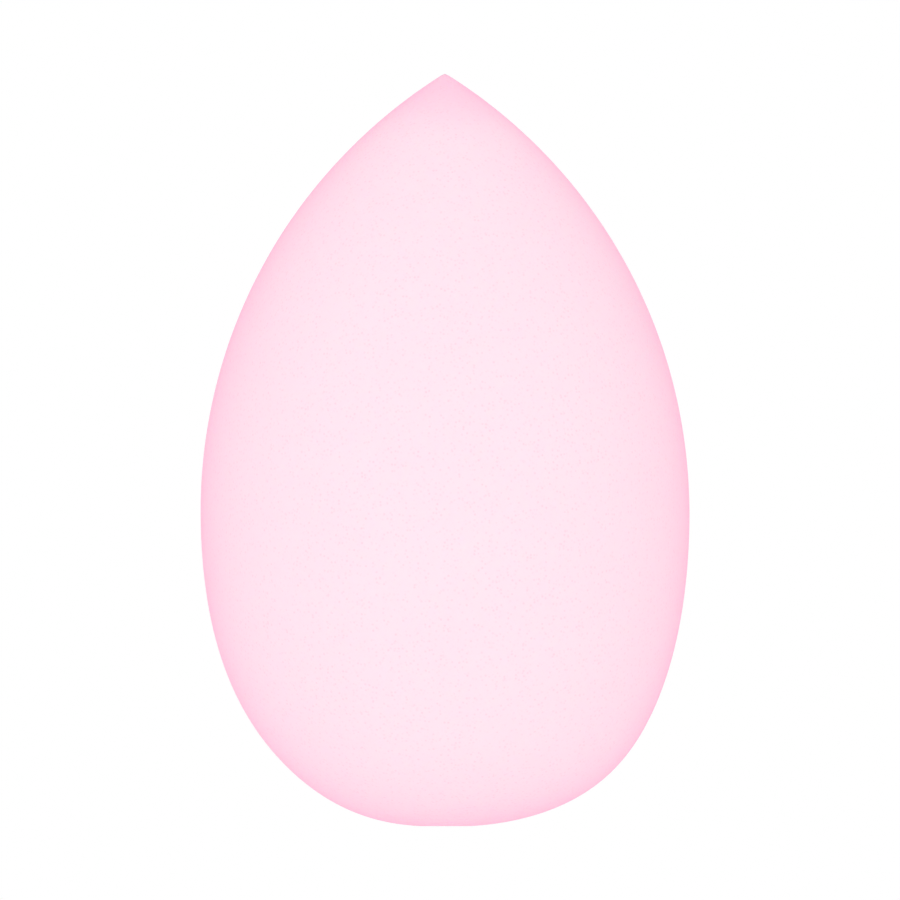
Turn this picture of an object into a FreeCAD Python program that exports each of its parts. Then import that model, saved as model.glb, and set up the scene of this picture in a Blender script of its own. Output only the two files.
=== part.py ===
"""Teardrop makeup sponge: a soft foam core filling the thin skin that the foam forms against its mould.

Both solids turn about +Z. The origin is the centre of the flat that the sponge stands on.
"""

import FreeCAD, Part
import math
import os

# Driving dimensions, in millimetres
HEIGHT = 60.0  # from the resting flat to the point
BELLY_DIAMETER = 39.0  # at the widest part
BELLY_HEIGHT = 25.1  # of the widest part above the resting flat
REST_FLAT_DIAMETER = 4.0  # flat in the middle of the base
TIP_RADIUS = 0.3  # blunting of the point
SKIN_THICKNESS = 0.6  # of the dense skin, square to the surface
CORE_TIP_RADIUS = 0.6  # blunting of the core's point

# Roundness of the base: the angle at which it leaves the resting flat, in degrees, and how far each handle
# of its curve reaches along the length that it follows
BASE_RISE_ANGLE = 3.0
BASE_HANDLE_SHARE = 0.74  # out from the resting flat, along the rest of the belly's radius
SIDE_HANDLE_SHARE = 0.52  # down from the belly, along the belly's height

AXIS_POINT = FreeCAD.Vector(0, 0, 0)
AXIS = FreeCAD.Vector(0, 0, 1)
FULL_TURN = 360.0

# The shoulder is one arc from the belly, where it is upright, to the blunted point
BELLY_RADIUS = BELLY_DIAMETER / 2
TIP_RISE = HEIGHT - TIP_RADIUS - BELLY_HEIGHT
SHOULDER_RADIUS = (TIP_RISE**2 + BELLY_RADIUS**2 - TIP_RADIUS**2) / (2 * (BELLY_RADIUS - TIP_RADIUS))
SHOULDER_CENTRE = FreeCAD.Vector(BELLY_RADIUS - SHOULDER_RADIUS, 0, BELLY_HEIGHT)


def at(radius, height):
    """A point of the half outline, which lies in the XZ plane."""
    return FreeCAD.Vector(radius, 0, height)


def arc(centre, radius, start_angle, end_angle):
    """An arc in the XZ plane, with its angles in radians from +X towards +Z."""
    middle_angle = (start_angle + end_angle) / 2
    start, middle, end = (
        centre + at(math.cos(angle), math.sin(angle)) * radius
        for angle in (start_angle, middle_angle, end_angle)
    )
    return Part.Arc(start, middle, end).toShape()


def flat_edge(inset):
    """The edge of the flat, where it meets the rising base at the same depth below the surface as both."""
    half_rise = math.radians(BASE_RISE_ANGLE) / 2
    return at(REST_FLAT_DIAMETER / 2 - inset * math.tan(half_rise), inset)


def base_curve(inset):
    """The side, upright at the belly, and its turn into the base, which rises gently from the flat."""
    rise = math.radians(BASE_RISE_ANGLE)
    edge = flat_edge(inset)
    belly = at(BELLY_RADIUS - inset, BELLY_HEIGHT)
    base_handle = BASE_HANDLE_SHARE * (belly.x - edge.x)
    side_handle = SIDE_HANDLE_SHARE * (belly.z - edge.z)
    curve = Part.BezierCurve()
    curve.setPoles([
        edge,
        edge + at(math.cos(rise), math.sin(rise)) * base_handle,
        belly - AXIS * side_handle,
        belly,
    ])
    return curve.toShape()


def teardrop(inset, tip_radius):
    """A solid teardrop whose surface lies inset below the sponge's own, and whose point is blunted."""
    shoulder_radius = SHOULDER_RADIUS - inset
    tip_rise = math.sqrt((shoulder_radius - tip_radius) ** 2 - SHOULDER_CENTRE.x**2)
    tip_centre = at(0, BELLY_HEIGHT + tip_rise)
    tip_angle = math.atan2(tip_rise, -SHOULDER_CENTRE.x)
    upright = math.pi / 2
    foot = at(0, inset)
    top = tip_centre + AXIS * tip_radius

    base = base_curve(inset)
    flat = Part.makeLine(foot, flat_edge(inset))
    shoulder = arc(SHOULDER_CENTRE, shoulder_radius, 0, tip_angle)
    tip = arc(tip_centre, tip_radius, tip_angle, upright)
    axis_line = Part.makeLine(top, foot)
    outline = Part.Wire([flat, base, shoulder, tip, axis_line])
    return Part.Face(outline).revolve(AXIS_POINT, AXIS, FULL_TURN)


def foam_core():
    """The open-celled foam inside the skin."""
    return teardrop(SKIN_THICKNESS, CORE_TIP_RADIUS)


def moulded_skin(core):
    """The closed skin, whose inner face is the core's own surface."""
    return teardrop(0, TIP_RADIUS).cut(core)


def write_part(shape, node):
    """Writes one sub-part's solid, and prints its volume and whether it is sound."""
    solid = shape.Solids[0]
    solid.exportStep(os.path.join("parts", node + ".step"))
    print(node, "solids", len(shape.Solids), "volume", round(solid.Volume, 1), "valid", solid.isValid())


def main():
    os.makedirs("parts", exist_ok=True)
    core = foam_core()
    write_part(core, "foam_core")
    write_part(moulded_skin(core), "moulded_skin")


main()
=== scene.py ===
import bpy
import math
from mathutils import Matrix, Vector


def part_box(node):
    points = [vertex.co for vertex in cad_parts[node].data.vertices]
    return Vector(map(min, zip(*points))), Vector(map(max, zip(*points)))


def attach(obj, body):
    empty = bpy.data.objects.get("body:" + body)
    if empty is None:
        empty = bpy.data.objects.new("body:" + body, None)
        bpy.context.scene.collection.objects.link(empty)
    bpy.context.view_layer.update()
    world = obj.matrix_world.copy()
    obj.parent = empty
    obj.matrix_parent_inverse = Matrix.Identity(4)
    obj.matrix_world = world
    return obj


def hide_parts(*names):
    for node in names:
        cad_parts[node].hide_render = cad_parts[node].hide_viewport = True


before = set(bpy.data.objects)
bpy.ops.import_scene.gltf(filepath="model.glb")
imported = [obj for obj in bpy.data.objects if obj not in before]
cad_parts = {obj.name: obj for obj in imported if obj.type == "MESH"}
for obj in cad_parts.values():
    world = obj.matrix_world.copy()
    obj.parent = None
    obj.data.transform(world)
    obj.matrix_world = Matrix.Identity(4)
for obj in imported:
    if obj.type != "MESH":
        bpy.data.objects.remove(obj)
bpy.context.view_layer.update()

MM = 0.001

# Outline of the sponge, repeated from the CAD model where its boxes don't give it
BELLY_HEIGHT = 25.1 * MM
REST_FLAT_RADIUS = 2.0 * MM
SKIN_TIP_RADIUS = 0.3 * MM
CORE_TIP_RADIUS = 0.6 * MM
BASE_RISE_ANGLE = math.radians(3.0)
BASE_HANDLE_SHARE = 0.74
SIDE_HANDLE_SHARE = 0.52

SKIN_LOW, SKIN_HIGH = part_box("moulded_skin")
CORE_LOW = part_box("foam_core")[0]
HEIGHT = SKIN_HIGH.z
BELLY_RADIUS = (SKIN_HIGH.x - SKIN_LOW.x) / 2
SKIN_THICKNESS = CORE_LOW.z

# The shoulder's arc, upright at the belly and tangent to the blunted point
TIP_RISE = HEIGHT - SKIN_TIP_RADIUS - BELLY_HEIGHT
TIP_INSET = BELLY_RADIUS - SKIN_TIP_RADIUS
SHOULDER_RADIUS = (TIP_RISE**2 + TIP_INSET**2) / (2 * TIP_INSET) + SKIN_TIP_RADIUS
SHOULDER_CENTRE = Vector((BELLY_RADIUS - SHOULDER_RADIUS, 0, BELLY_HEIGHT))

# The moulding's own unevenness
LEAN = 0.55 * MM  # how far the lower side stands out towards +X
LEAN_HEIGHT = 3.7 * MM  # where it stands out most
SWELL_DEPTH = 0.06 * MM
SWELL_WIDTH = 14.0 * MM
DIMPLE_DEPTH = 0.012 * MM
DIMPLE_WIDTH = 1.2 * MM
RELIEF_DETAIL = 1.0
RELIEF_FROM = 0.5 * MM  # the resting flat stays level
RELIEF_FULL = 5.0 * MM
SEED = 7.0

# Fineness of the meshes
SKIN_CELLS = 128
CORE_CELLS = 48
CURVE_STEPS = 96

# Polyurethane, in the skin and inside
POLYURETHANE_IOR = 1.5
SPECULAR_LEVEL = 0.1  # 0.5 is the full gloss of that IOR, and pores break most of it up

# Skin of the foam
SKIN_PINK = "fee6ef"
SKIN_ROUGHNESS = 0.9
POINT_PINK = "fed2e4"
POINT_TINT_LENGTH = 5.5 * MM
# Deeper pink painted into the pores as their shade, and also the slow clouds' own colour
PORE_SHADE_AND_CLOUD_PINK = "fec6d6"
PORE_ROUGHNESS = 1.0
PORE_SPACING = 0.3 * MM  # real pores are half as far apart, which is too fine to show
PORE_RIM_SHARE = 0.45  # of the spacing, from a pore's middle to the top of its wall
PORE_FLOOR_SHARE = 0.1  # of the spacing, from a pore's middle to the foot of its wall
PORE_SHADE_SHARE = 0.4  # of the pink of the pores' painted shade, in the deepest pore
PORE_DEPTH = 0.03 * MM
CLOUD_WIDTH = 9.0 * MM
CLOUD_TONE_SHARE = 0.06  # of the same pink, in the deepest cloud of the foam's own colour
GRAIN_WIDTH = 0.3 * MM
GRAIN_STRENGTH = 0.3
CLOUD_AND_GRAIN_DETAIL = 2.0
NAP_PINK = "ffa6cc"
NAP_SHARE = 1.0
NAP_ROUGHNESS = 0.58
SCATTER_SHARE = 0.3
SCATTER_LENGTH = 0.8 * MM
SCATTER_CHANNEL_SHARES = (1.0, 0.35, 0.5)  # of that length, for red, green and blue light

# Foam inside
CORE_PINK = "fee2ea"
CORE_ROUGHNESS = 1.0
# Deeper pink painted into the hollows as their shade
HOLLOW_SHADE_PINK = "fab4cb"
CELL_WIDTH = 0.4 * MM
STRUT_SHARE = 0.04  # of the cell's width, for half the strut between two cells
BOWL_SHARE = 0.3  # of the cell's width, from the strut's middle to where the hollow is deepest
SHALLOW_SHARE = 0.25  # depth of the shallowest hollow, beside the deepest
HOLLOW_DEPTH = CELL_WIDTH / 2
HOLLOW_STRENGTH = 0.4

# Stage and light, in metres and watts
MIDDLE = Vector((0, 0, HEIGHT / 2))
TABLE_SIDE = 0.8
TABLE_DROP = 0.02 * MM  # keeps the table clear of the resting flat
TABLE_WHITE = "f3f3f3"
TABLE_LIGHT = 1.04
TABLE_SHOWN_GLOW = 0.09  # little enough to keep the shadow
ROOM_WHITE = "ffffff"
ROOM_LIGHT = 0.96
ROOM_SHOWN_LIGHT = 1.0  # shows as pure white
SOFTBOX_SIDE = 0.6
KEY_PLACE = Vector((-0.6, -0.8, 0.5))
KEY_POWER = 0.87
FILL_PLACE = Vector((0.7, -0.7, 0.45))
FILL_POWER = 0.49
BACK_PLACE = Vector((0.0, 0.9, 0.33))
BACK_POWER = 0.4

# Camera, level with the middle of the sponge and without perspective, as if from far off
CAMERA_DISTANCE = 1.0
PICTURE_SIDE_PX = 900
SPONGE_HEIGHT_PX = 752.1
CAMERA_SHIFT = 0.41 * MM  # of the picture's middle from the sponge's axis
PICTURE_SIDE = HEIGHT * PICTURE_SIDE_PX / SPONGE_HEIGHT_PX

# Places of a Mix node's colour sockets, and the middle of a Noise node's range
COLOUR_A = 6
COLOUR_B = 7
COLOUR_RESULT = 2
NOISE_MIDDLE = 0.5


def linear(hex_colour):
    """The linear colour of an sRGB hex value."""
    channels = [int(hex_colour[place : place + 2], 16) / 255 for place in (0, 2, 4)]
    return [c / 12.92 if c <= 0.04045 else ((c + 0.055) / 1.055) ** 2.4 for c in channels] + [1.0]


def add(tree, kind, inputs=None, **settings):
    """Adds a node with its settings, links or sets each of its inputs, and returns its outputs."""
    node = tree.nodes.new(kind)
    for setting, value in settings.items():
        setattr(node, setting, value)
    for socket, source in (inputs or {}).items():
        if isinstance(source, bpy.types.NodeSocket):
            tree.links.new(source, node.inputs[socket])
        else:
            node.inputs[socket].default_value = source
    return node.outputs


def half_outline(tree, given):
    """The curve from the foot of the axis to the point, by way of the flat, base, shoulder and tip."""
    flat = add(tree, "GeometryNodeCurvePrimitiveLine", {"Start": given["Foot"], "End": given["Flat End"]})
    base = add(tree, "GeometryNodeCurvePrimitiveBezierSegment", {
        "Resolution": CURVE_STEPS,
        "Start": given["Flat End"],
        "Start Handle": given["Base Handle"],
        "End Handle": given["Side Handle"],
        "End": given["Belly"],
    })
    level_arc = add(tree, "GeometryNodeCurveArc", {
        "Resolution": CURVE_STEPS,
        "Radius": given["Shoulder Radius"],
        "Start Angle": 0.0,
        "Sweep Angle": given["Shoulder Sweep"],
    }, mode="RADIUS")
    shoulder = add(tree, "GeometryNodeTransform", {
        "Geometry": level_arc["Curve"],
        "Translation": given["Shoulder Centre"],
        "Rotation": (math.pi / 2, 0, 0),
    })
    tip = add(tree, "GeometryNodeCurvePrimitiveLine", {"Start": given["Shoulder End"], "End": given["Top"]})
    outline = tree.nodes.new("GeometryNodeJoinGeometry")
    for section in (tip, shoulder, base, flat):  # the section that is linked last comes first
        tree.links.new(section[0], outline.inputs[0])
    return outline.outputs[0]


def wrapped_grid(tree, given, outline):
    """A closed grid wrapped round the axis along the outline, with the lean of the lower side."""
    # Cube from -1 to 1 whose lines are spread to equal angles, blown up to an even ball
    side = add(tree, "ShaderNodeMath", {0: given["Cells"], 1: 1.0}, operation="ADD")[0]
    cube = add(tree, "GeometryNodeMeshCube", {
        "Size": (2, 2, 2), "Vertices X": side, "Vertices Y": side, "Vertices Z": side,
    })
    place = add(tree, "GeometryNodeInputPosition")[0]
    angles = add(tree, "ShaderNodeVectorMath", {0: place, "Scale": math.pi / 4}, operation="SCALE")[0]
    spread = add(tree, "ShaderNodeVectorMath", {0: angles}, operation="TANGENT")[0]
    ball = add(tree, "ShaderNodeVectorMath", {0: spread}, operation="NORMALIZE")[0]

    # The angle from the ball's top gives the place along the outline, from 0 at the foot to 1 at the point
    toward = add(tree, "ShaderNodeSeparateXYZ", {0: ball})
    polar = add(tree, "ShaderNodeMath", {0: toward["Z"]}, operation="ARCCOSINE")[0]
    along = add(tree, "ShaderNodeMath", {0: polar, 1: -1 / math.pi, 2: 1.0}, operation="MULTIPLY_ADD")[0]
    sample = add(tree, "GeometryNodeSampleCurve", {
        "Curves": outline, "Factor": along,
    }, mode="FACTOR", use_all_curves=True)
    half = add(tree, "ShaderNodeSeparateXYZ", {0: sample["Position"]})
    level = add(tree, "ShaderNodeCombineXYZ", {"X": toward["X"], "Y": toward["Y"]})[0]
    outward = add(tree, "ShaderNodeVectorMath", {0: level}, operation="NORMALIZE")[0]
    ring = add(tree, "ShaderNodeVectorMath", {0: outward, "Scale": half["X"]}, operation="SCALE")[0]

    # The lower side stands out most at one height, and ever less below and above it
    climb = add(tree, "ShaderNodeMath", {0: half["Z"], 1: given["Lean Height"]}, operation="DIVIDE")[0]
    excess = add(tree, "ShaderNodeMath", {0: 1.0, 1: climb}, operation="SUBTRACT")[0]
    decay = add(tree, "ShaderNodeMath", {0: excess}, operation="EXPONENT")[0]
    lean_share = add(tree, "ShaderNodeMath", {0: climb, 1: decay}, operation="MULTIPLY")[0]
    lean = add(tree, "ShaderNodeMath", {0: lean_share, 1: given["Lean"]}, operation="MULTIPLY")[0]
    lift = add(tree, "ShaderNodeCombineXYZ", {"X": lean, "Z": half["Z"]})[0]
    wrapped = add(tree, "ShaderNodeVectorMath", {0: ring, 1: lift}, operation="ADD")[0]
    return add(tree, "GeometryNodeSetPosition", {"Geometry": cube["Mesh"], "Position": wrapped})[0]


def uneven_surface(tree, given, body):
    """The body with slow swells and fine dimples, which fade out towards the resting flat."""
    surface = add(tree, "GeometryNodeInputPosition")[0]
    height = add(tree, "ShaderNodeSeparateXYZ", {0: surface})["Z"]
    fade = add(tree, "ShaderNodeMapRange", {
        "Value": height, "From Min": given["Relief From"], "From Max": given["Relief Full"],
    }, interpolation_type="SMOOTHSTEP")[0]
    rises = []
    for relief in ("Swell", "Dimple"):
        scale = add(tree, "ShaderNodeMath", {0: 1.0, 1: given[relief + " Width"]}, operation="DIVIDE")[0]
        noise = add(tree, "ShaderNodeTexNoise", {
            "Vector": surface, "W": given["Seed"], "Scale": scale, "Detail": RELIEF_DETAIL,
        }, noise_dimensions="4D")[0]
        about_zero = add(tree, "ShaderNodeMath", {0: noise, 1: NOISE_MIDDLE}, operation="SUBTRACT")[0]
        depth = given[relief + " Depth"]
        rises.append(add(tree, "ShaderNodeMath", {0: about_zero, 1: depth}, operation="MULTIPLY")[0])
    rise = add(tree, "ShaderNodeMath", {0: rises[0], 1: rises[1]}, operation="ADD")[0]
    faded = add(tree, "ShaderNodeMath", {0: rise, 1: fade}, operation="MULTIPLY")[0]
    normal = add(tree, "GeometryNodeInputNormal")[0]
    offset = add(tree, "ShaderNodeVectorMath", {0: normal, "Scale": faded}, operation="SCALE")[0]
    return add(tree, "GeometryNodeSetPosition", {"Geometry": body, "Offset": offset})[0]


def teardrop_tree():
    """Geometry nodes that wrap a closed grid round a half outline, with no seam and no crowded pole."""
    tree = bpy.data.node_groups.new("foam_teardrop", "GeometryNodeTree")
    sockets = {
        "Foot": "NodeSocketVector",
        "Flat End": "NodeSocketVector",
        "Base Handle": "NodeSocketVector",
        "Side Handle": "NodeSocketVector",
        "Belly": "NodeSocketVector",
        "Shoulder Centre": "NodeSocketVector",
        "Shoulder Radius": "NodeSocketFloat",
        "Shoulder Sweep": "NodeSocketFloat",
        "Shoulder End": "NodeSocketVector",
        "Top": "NodeSocketVector",
        "Cells": "NodeSocketInt",
        "Lean": "NodeSocketFloat",
        "Lean Height": "NodeSocketFloat",
        "Swell Depth": "NodeSocketFloat",
        "Swell Width": "NodeSocketFloat",
        "Dimple Depth": "NodeSocketFloat",
        "Dimple Width": "NodeSocketFloat",
        "Relief From": "NodeSocketFloat",
        "Relief Full": "NodeSocketFloat",
        "Seed": "NodeSocketFloat",
        "Material": "NodeSocketMaterial",
    }
    for name, kind in sockets.items():
        tree.interface.new_socket(name, in_out="INPUT", socket_type=kind)
    tree.interface.new_socket("Geometry", in_out="OUTPUT", socket_type="NodeSocketGeometry")
    given = add(tree, "NodeGroupInput")
    body = wrapped_grid(tree, given, half_outline(tree, given))
    moulding = uneven_surface(tree, given, body)
    smooth = add(tree, "GeometryNodeSetShadeSmooth", {"Geometry": moulding, "Shade Smooth": True})[0]
    real = add(tree, "GeometryNodeRealizeInstances", {"Geometry": smooth})[0]
    finished = add(tree, "GeometryNodeSetMaterial", {"Geometry": real, "Material": given["Material"]})[0]
    add(tree, "NodeGroupOutput", {"Geometry": finished})
    return tree


def outline_inputs(inset, tip_radius):
    """The tree's outline for a surface that lies inset below the sponge's own."""
    flat_end = Vector((REST_FLAT_RADIUS - inset * math.tan(BASE_RISE_ANGLE / 2), 0, inset))
    belly = Vector((BELLY_RADIUS - inset, 0, BELLY_HEIGHT))
    base_rise = Vector((math.cos(BASE_RISE_ANGLE), 0, math.sin(BASE_RISE_ANGLE)))
    base_reach = BASE_HANDLE_SHARE * (belly.x - flat_end.x)
    side_reach = SIDE_HANDLE_SHARE * (belly.z - flat_end.z)
    shoulder_radius = SHOULDER_RADIUS - inset
    tip_rise = math.sqrt((shoulder_radius - tip_radius) ** 2 - SHOULDER_CENTRE.x**2)
    sweep = math.atan2(tip_rise, -SHOULDER_CENTRE.x)
    return {
        "Foot": Vector((0, 0, inset)),
        "Flat End": flat_end,
        "Base Handle": flat_end + base_rise * base_reach,
        "Side Handle": belly - Vector((0, 0, side_reach)),
        "Belly": belly,
        "Shoulder Centre": SHOULDER_CENTRE,
        "Shoulder Radius": shoulder_radius,
        "Shoulder Sweep": sweep,
        "Shoulder End": SHOULDER_CENTRE + Vector((math.cos(sweep), 0, math.sin(sweep))) * shoulder_radius,
        "Top": Vector((0, 0, BELLY_HEIGHT + tip_rise + tip_radius)),
    }


def teardrop(name, tree, inputs):
    """A plain mesh object of that name, made by the tree from these inputs."""
    blank = bpy.data.meshes.new(name)
    piece = bpy.data.objects.new(name, blank)
    bpy.context.scene.collection.objects.link(piece)
    modifier = piece.modifiers.new("teardrop", "NODES")
    modifier.node_group = tree
    for item in tree.interface.items_tree:
        if item.in_out == "INPUT":
            modifier[item.identifier] = inputs[item.name]
    evaluated = piece.evaluated_get(bpy.context.evaluated_depsgraph_get())
    mesh = bpy.data.meshes.new_from_object(evaluated)
    piece.modifiers.clear()
    piece.data = mesh
    bpy.data.meshes.remove(blank)
    mesh.name = name
    return piece


def blank_material(name):
    """A material with an empty node tree."""
    material = bpy.data.materials.new(name)
    material.use_nodes = True
    material.node_tree.nodes.clear()
    return material


def foam_skin():
    """Polyurethane foam skinned over in a polished mould: matt, finely pored, deeper pink at its point.

    Torn cell walls stand up from it as a fine nap, which shows a deeper pink the more aslant it is seen.
    """
    material = blank_material("moulded polyurethane foam skin")
    tree = material.node_tree
    place = add(tree, "ShaderNodeTexCoord")["Object"]
    height = add(tree, "ShaderNodeSeparateXYZ", {0: place})["Z"]

    # Deeper colour towards the point
    point = add(tree, "ShaderNodeMapRange", {
        "Value": height, "From Min": HEIGHT - POINT_TINT_LENGTH, "From Max": HEIGHT,
    }, interpolation_type="SMOOTHSTEP")[0]
    plain = add(tree, "ShaderNodeMix", {
        0: point, COLOUR_A: linear(SKIN_PINK), COLOUR_B: linear(POINT_PINK),
    }, data_type="RGBA")[COLOUR_RESULT]

    # Pores, each cell with its own depth and a painted shade that deepens its pink, and slow clouds of the
    # foam's own colour
    cells = add(tree, "ShaderNodeTexVoronoi", {"Vector": place, "Scale": 1 / PORE_SPACING})
    pit = add(tree, "ShaderNodeMapRange", {
        "Value": cells["Distance"], "From Min": PORE_RIM_SHARE, "From Max": PORE_FLOOR_SHARE,
    }, interpolation_type="SMOOTHSTEP")[0]
    chance = add(tree, "ShaderNodeSeparateColor", {0: cells["Color"]})[0]
    pore = add(tree, "ShaderNodeMath", {0: pit, 1: chance}, operation="MULTIPLY")[0]
    clouds = add(tree, "ShaderNodeTexNoise", {
        "Vector": place, "Scale": 1 / CLOUD_WIDTH, "Detail": CLOUD_AND_GRAIN_DETAIL,
    })[0]
    pore_shade_tone = add(tree, "ShaderNodeMath", {0: pore, 1: PORE_SHADE_SHARE}, operation="MULTIPLY")[0]
    cloud_and_pore_shade_tone = add(tree, "ShaderNodeMath", {
        0: clouds, 1: CLOUD_TONE_SHARE, 2: pore_shade_tone,
    }, operation="MULTIPLY_ADD")[0]
    # Painted shade in the pores and the clouds' own colour, both as the deeper pink
    colour = add(tree, "ShaderNodeMix", {
        0: cloud_and_pore_shade_tone, COLOUR_A: plain, COLOUR_B: linear(PORE_SHADE_AND_CLOUD_PINK),
    }, data_type="RGBA")[COLOUR_RESULT]

    # Matt all over, a little rougher in the pores, with a fine grain
    roughness = add(tree, "ShaderNodeMapRange", {
        "Value": pore, "To Min": SKIN_ROUGHNESS, "To Max": PORE_ROUGHNESS,
    })[0]
    grain = add(tree, "ShaderNodeTexNoise", {
        "Vector": place, "Scale": 1 / GRAIN_WIDTH, "Detail": CLOUD_AND_GRAIN_DETAIL,
    })[0]
    relief = add(tree, "ShaderNodeMath", {0: grain, 1: pore}, operation="SUBTRACT")[0]
    bump = add(tree, "ShaderNodeBump", {
        "Strength": GRAIN_STRENGTH, "Distance": PORE_DEPTH, "Height": relief,
    })[0]

    foam = add(tree, "ShaderNodeBsdfPrincipled", {
        "Base Color": colour,
        "Roughness": roughness,
        "Normal": bump,
        "IOR": POLYURETHANE_IOR,
        "Specular IOR Level": SPECULAR_LEVEL,
        "Subsurface Weight": SCATTER_SHARE,
        "Subsurface Radius": SCATTER_CHANNEL_SHARES,
        "Subsurface Scale": SCATTER_LENGTH,
        "Sheen Weight": NAP_SHARE,
        "Sheen Roughness": NAP_ROUGHNESS,
        "Sheen Tint": linear(NAP_PINK),
    }, subsurface_method="RANDOM_WALK")[0]
    add(tree, "ShaderNodeOutputMaterial", {"Surface": foam})
    return material


def open_foam():
    """Open-celled polyurethane foam: a web of pale struts round hollows, each hollow of its own depth, with
    painted shade that deepens the pink into each hollow.
    """
    material = blank_material("open-celled polyurethane foam")
    tree = material.node_tree
    place = add(tree, "ShaderNodeTexCoord")["Object"]
    cells = add(tree, "ShaderNodeTexVoronoi", {"Vector": place, "Scale": 1 / CELL_WIDTH})
    struts = add(tree, "ShaderNodeTexVoronoi", {
        "Vector": place, "Scale": 1 / CELL_WIDTH,
    }, feature="DISTANCE_TO_EDGE")
    bowl = add(tree, "ShaderNodeMapRange", {
        "Value": struts["Distance"], "From Min": STRUT_SHARE, "From Max": BOWL_SHARE,
    }, interpolation_type="SMOOTHSTEP")[0]
    chance = add(tree, "ShaderNodeSeparateColor", {0: cells["Color"]})[0]
    depth = add(tree, "ShaderNodeMapRange", {"Value": chance, "To Min": SHALLOW_SHARE})[0]
    hollow = add(tree, "ShaderNodeMath", {0: bowl, 1: depth}, operation="MULTIPLY")[0]
    # Painted shade: the pink deepens into each hollow with its depth
    colour = add(tree, "ShaderNodeMix", {
        0: hollow, COLOUR_A: linear(CORE_PINK), COLOUR_B: linear(HOLLOW_SHADE_PINK),
    }, data_type="RGBA")[COLOUR_RESULT]
    bump = add(tree, "ShaderNodeBump", {
        "Strength": HOLLOW_STRENGTH, "Distance": HOLLOW_DEPTH, "Height": hollow,
    }, invert=True)[0]
    foam = add(tree, "ShaderNodeBsdfPrincipled", {
        "Base Color": colour,
        "Normal": bump,
        "Roughness": CORE_ROUGHNESS,
        "IOR": POLYURETHANE_IOR,
        "Specular IOR Level": SPECULAR_LEVEL,
    })[0]
    add(tree, "ShaderNodeOutputMaterial", {"Surface": foam})
    return material


def seen(tree):
    """1 for a ray from the camera, or by way of gloss or glass, and 0 for light that falls on the sponge."""
    rays = add(tree, "ShaderNodeLightPath")
    mirrored = add(tree, "ShaderNodeMath", {
        0: rays["Is Glossy Ray"], 1: rays["Is Transmission Ray"],
    }, operation="MAXIMUM")[0]
    return add(tree, "ShaderNodeMath", {0: rays["Is Camera Ray"], 1: mirrored}, operation="MAXIMUM")[0]


def light_table():
    """White acrylic lit from below, which shows a shadow and lights the underside as evenly as the room."""
    material = blank_material("white acrylic light table")
    tree = material.node_tree
    glow = add(tree, "ShaderNodeEmission", {"Strength": TABLE_LIGHT})[0]
    shown_glow = add(tree, "ShaderNodeEmission", {"Strength": TABLE_SHOWN_GLOW})[0]
    sheet = add(tree, "ShaderNodeBsdfDiffuse", {"Color": linear(TABLE_WHITE)})[0]
    shown = add(tree, "ShaderNodeAddShader", {0: shown_glow, 1: sheet})[0]
    table = add(tree, "ShaderNodeMixShader", {0: seen(tree), 1: glow, 2: shown})[0]
    add(tree, "ShaderNodeOutputMaterial", {"Surface": table})
    return material


def white_room():
    """An even white room, which shows as pure white."""
    world = bpy.data.worlds.new("white room")
    world.use_nodes = True
    tree = world.node_tree
    tree.nodes.clear()
    strength = add(tree, "ShaderNodeMapRange", {
        "Value": seen(tree), "To Min": ROOM_LIGHT, "To Max": ROOM_SHOWN_LIGHT,
    })[0]
    walls = add(tree, "ShaderNodeBackground", {"Color": linear(ROOM_WHITE), "Strength": strength})[0]
    add(tree, "ShaderNodeOutputWorld", {"Surface": walls})
    return world


def softbox(name, place, power):
    """A square studio lamp at that place, turned to the middle of the sponge."""
    lamp = bpy.data.lights.new(name, "AREA")
    lamp.shape = "SQUARE"
    lamp.size = SOFTBOX_SIDE
    lamp.energy = power
    stand = bpy.data.objects.new(name, lamp)
    bpy.context.scene.collection.objects.link(stand)
    stand.location = place
    stand.rotation_euler = (MIDDLE - place).to_track_quat("-Z", "Y").to_euler()


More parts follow.
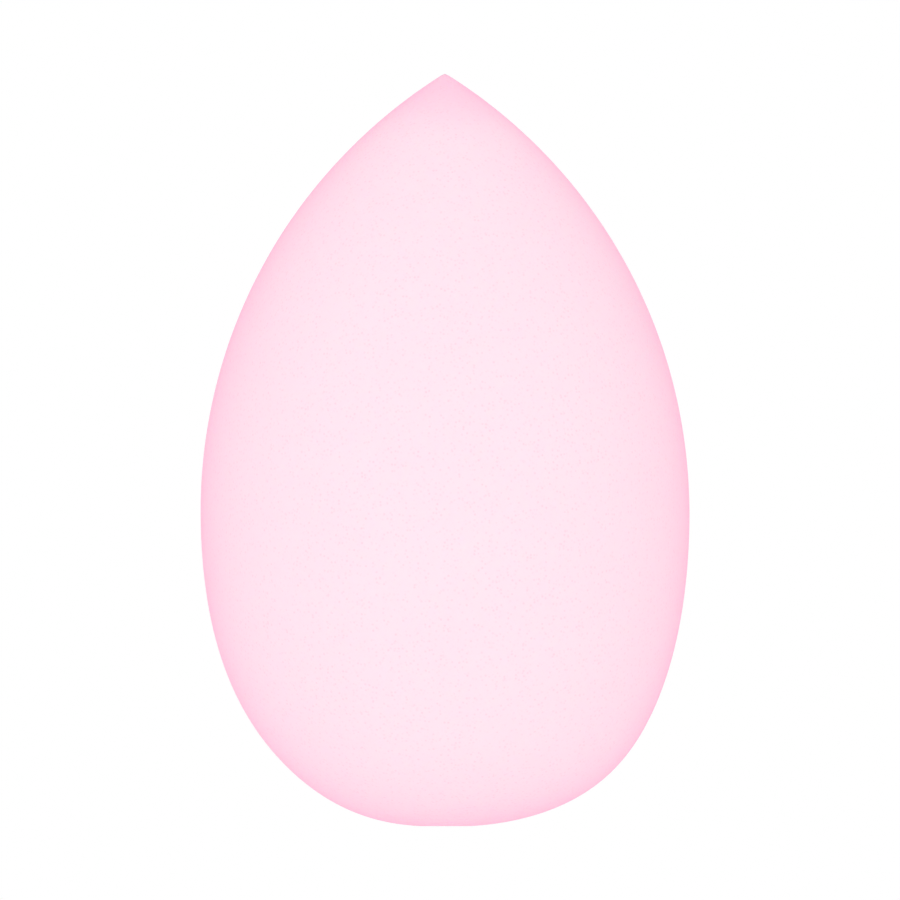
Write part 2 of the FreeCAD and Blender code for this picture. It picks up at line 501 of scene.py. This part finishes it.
def level_sheet(name, side, height, material):
    """A square sheet centred under the sponge."""
    half = side / 2
    corners = [(x, y, height) for x, y in ((-half, -half), (half, -half), (half, half), (-half, half))]
    mesh = bpy.data.meshes.new(name)
    mesh.from_pydata(corners, [], [range(len(corners))])
    mesh.materials.append(material)
    sheet = bpy.data.objects.new(name, mesh)
    bpy.context.scene.collection.objects.link(sheet)
    return sheet


# Pieces
sponge_tree = teardrop_tree()
shared = {
    "Lean": LEAN,
    "Lean Height": LEAN_HEIGHT,
    "Swell Width": SWELL_WIDTH,
    "Dimple Width": DIMPLE_WIDTH,
    "Relief From": RELIEF_FROM,
    "Relief Full": RELIEF_FULL,
    "Seed": SEED,
}
skin = teardrop("sponge_skin", sponge_tree, {
    **outline_inputs(inset=0.0, tip_radius=SKIN_TIP_RADIUS),
    **shared,
    "Cells": SKIN_CELLS,
    "Swell Depth": SWELL_DEPTH,
    "Dimple Depth": DIMPLE_DEPTH,
    "Material": foam_skin(),
})
core = teardrop("sponge_core", sponge_tree, {
    **outline_inputs(inset=SKIN_THICKNESS, tip_radius=CORE_TIP_RADIUS),
    **shared,
    "Cells": CORE_CELLS,
    "Swell Depth": 0.0,
    "Dimple Depth": 0.0,
    "Material": open_foam(),
})
for piece, node, slot in ((skin, "moulded_skin", "skin_foam"), (core, "foam_core", "core_foam")):
    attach(piece, "root")
    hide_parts(node)

# Stage and light
level_sheet("light_table", TABLE_SIDE, -TABLE_DROP, light_table())
bpy.context.scene.world = white_room()
softbox("key softbox", KEY_PLACE, KEY_POWER)
softbox("fill softbox", FILL_PLACE, FILL_POWER)
softbox("back softbox", BACK_PLACE, BACK_POWER)

# Camera
camera = bpy.data.cameras.new("camera")
camera.type = "ORTHO"
camera.ortho_scale = PICTURE_SIDE
viewpoint = bpy.data.objects.new("camera", camera)
bpy.context.scene.collection.objects.link(viewpoint)
viewpoint.location = MIDDLE + Vector((CAMERA_SHIFT, -CAMERA_DISTANCE, 0))
viewpoint.rotation_euler = (math.pi / 2, 0, 0)
bpy.context.scene.camera = viewpoint
bpy.context.scene.view_settings.view_transform = "Standard"
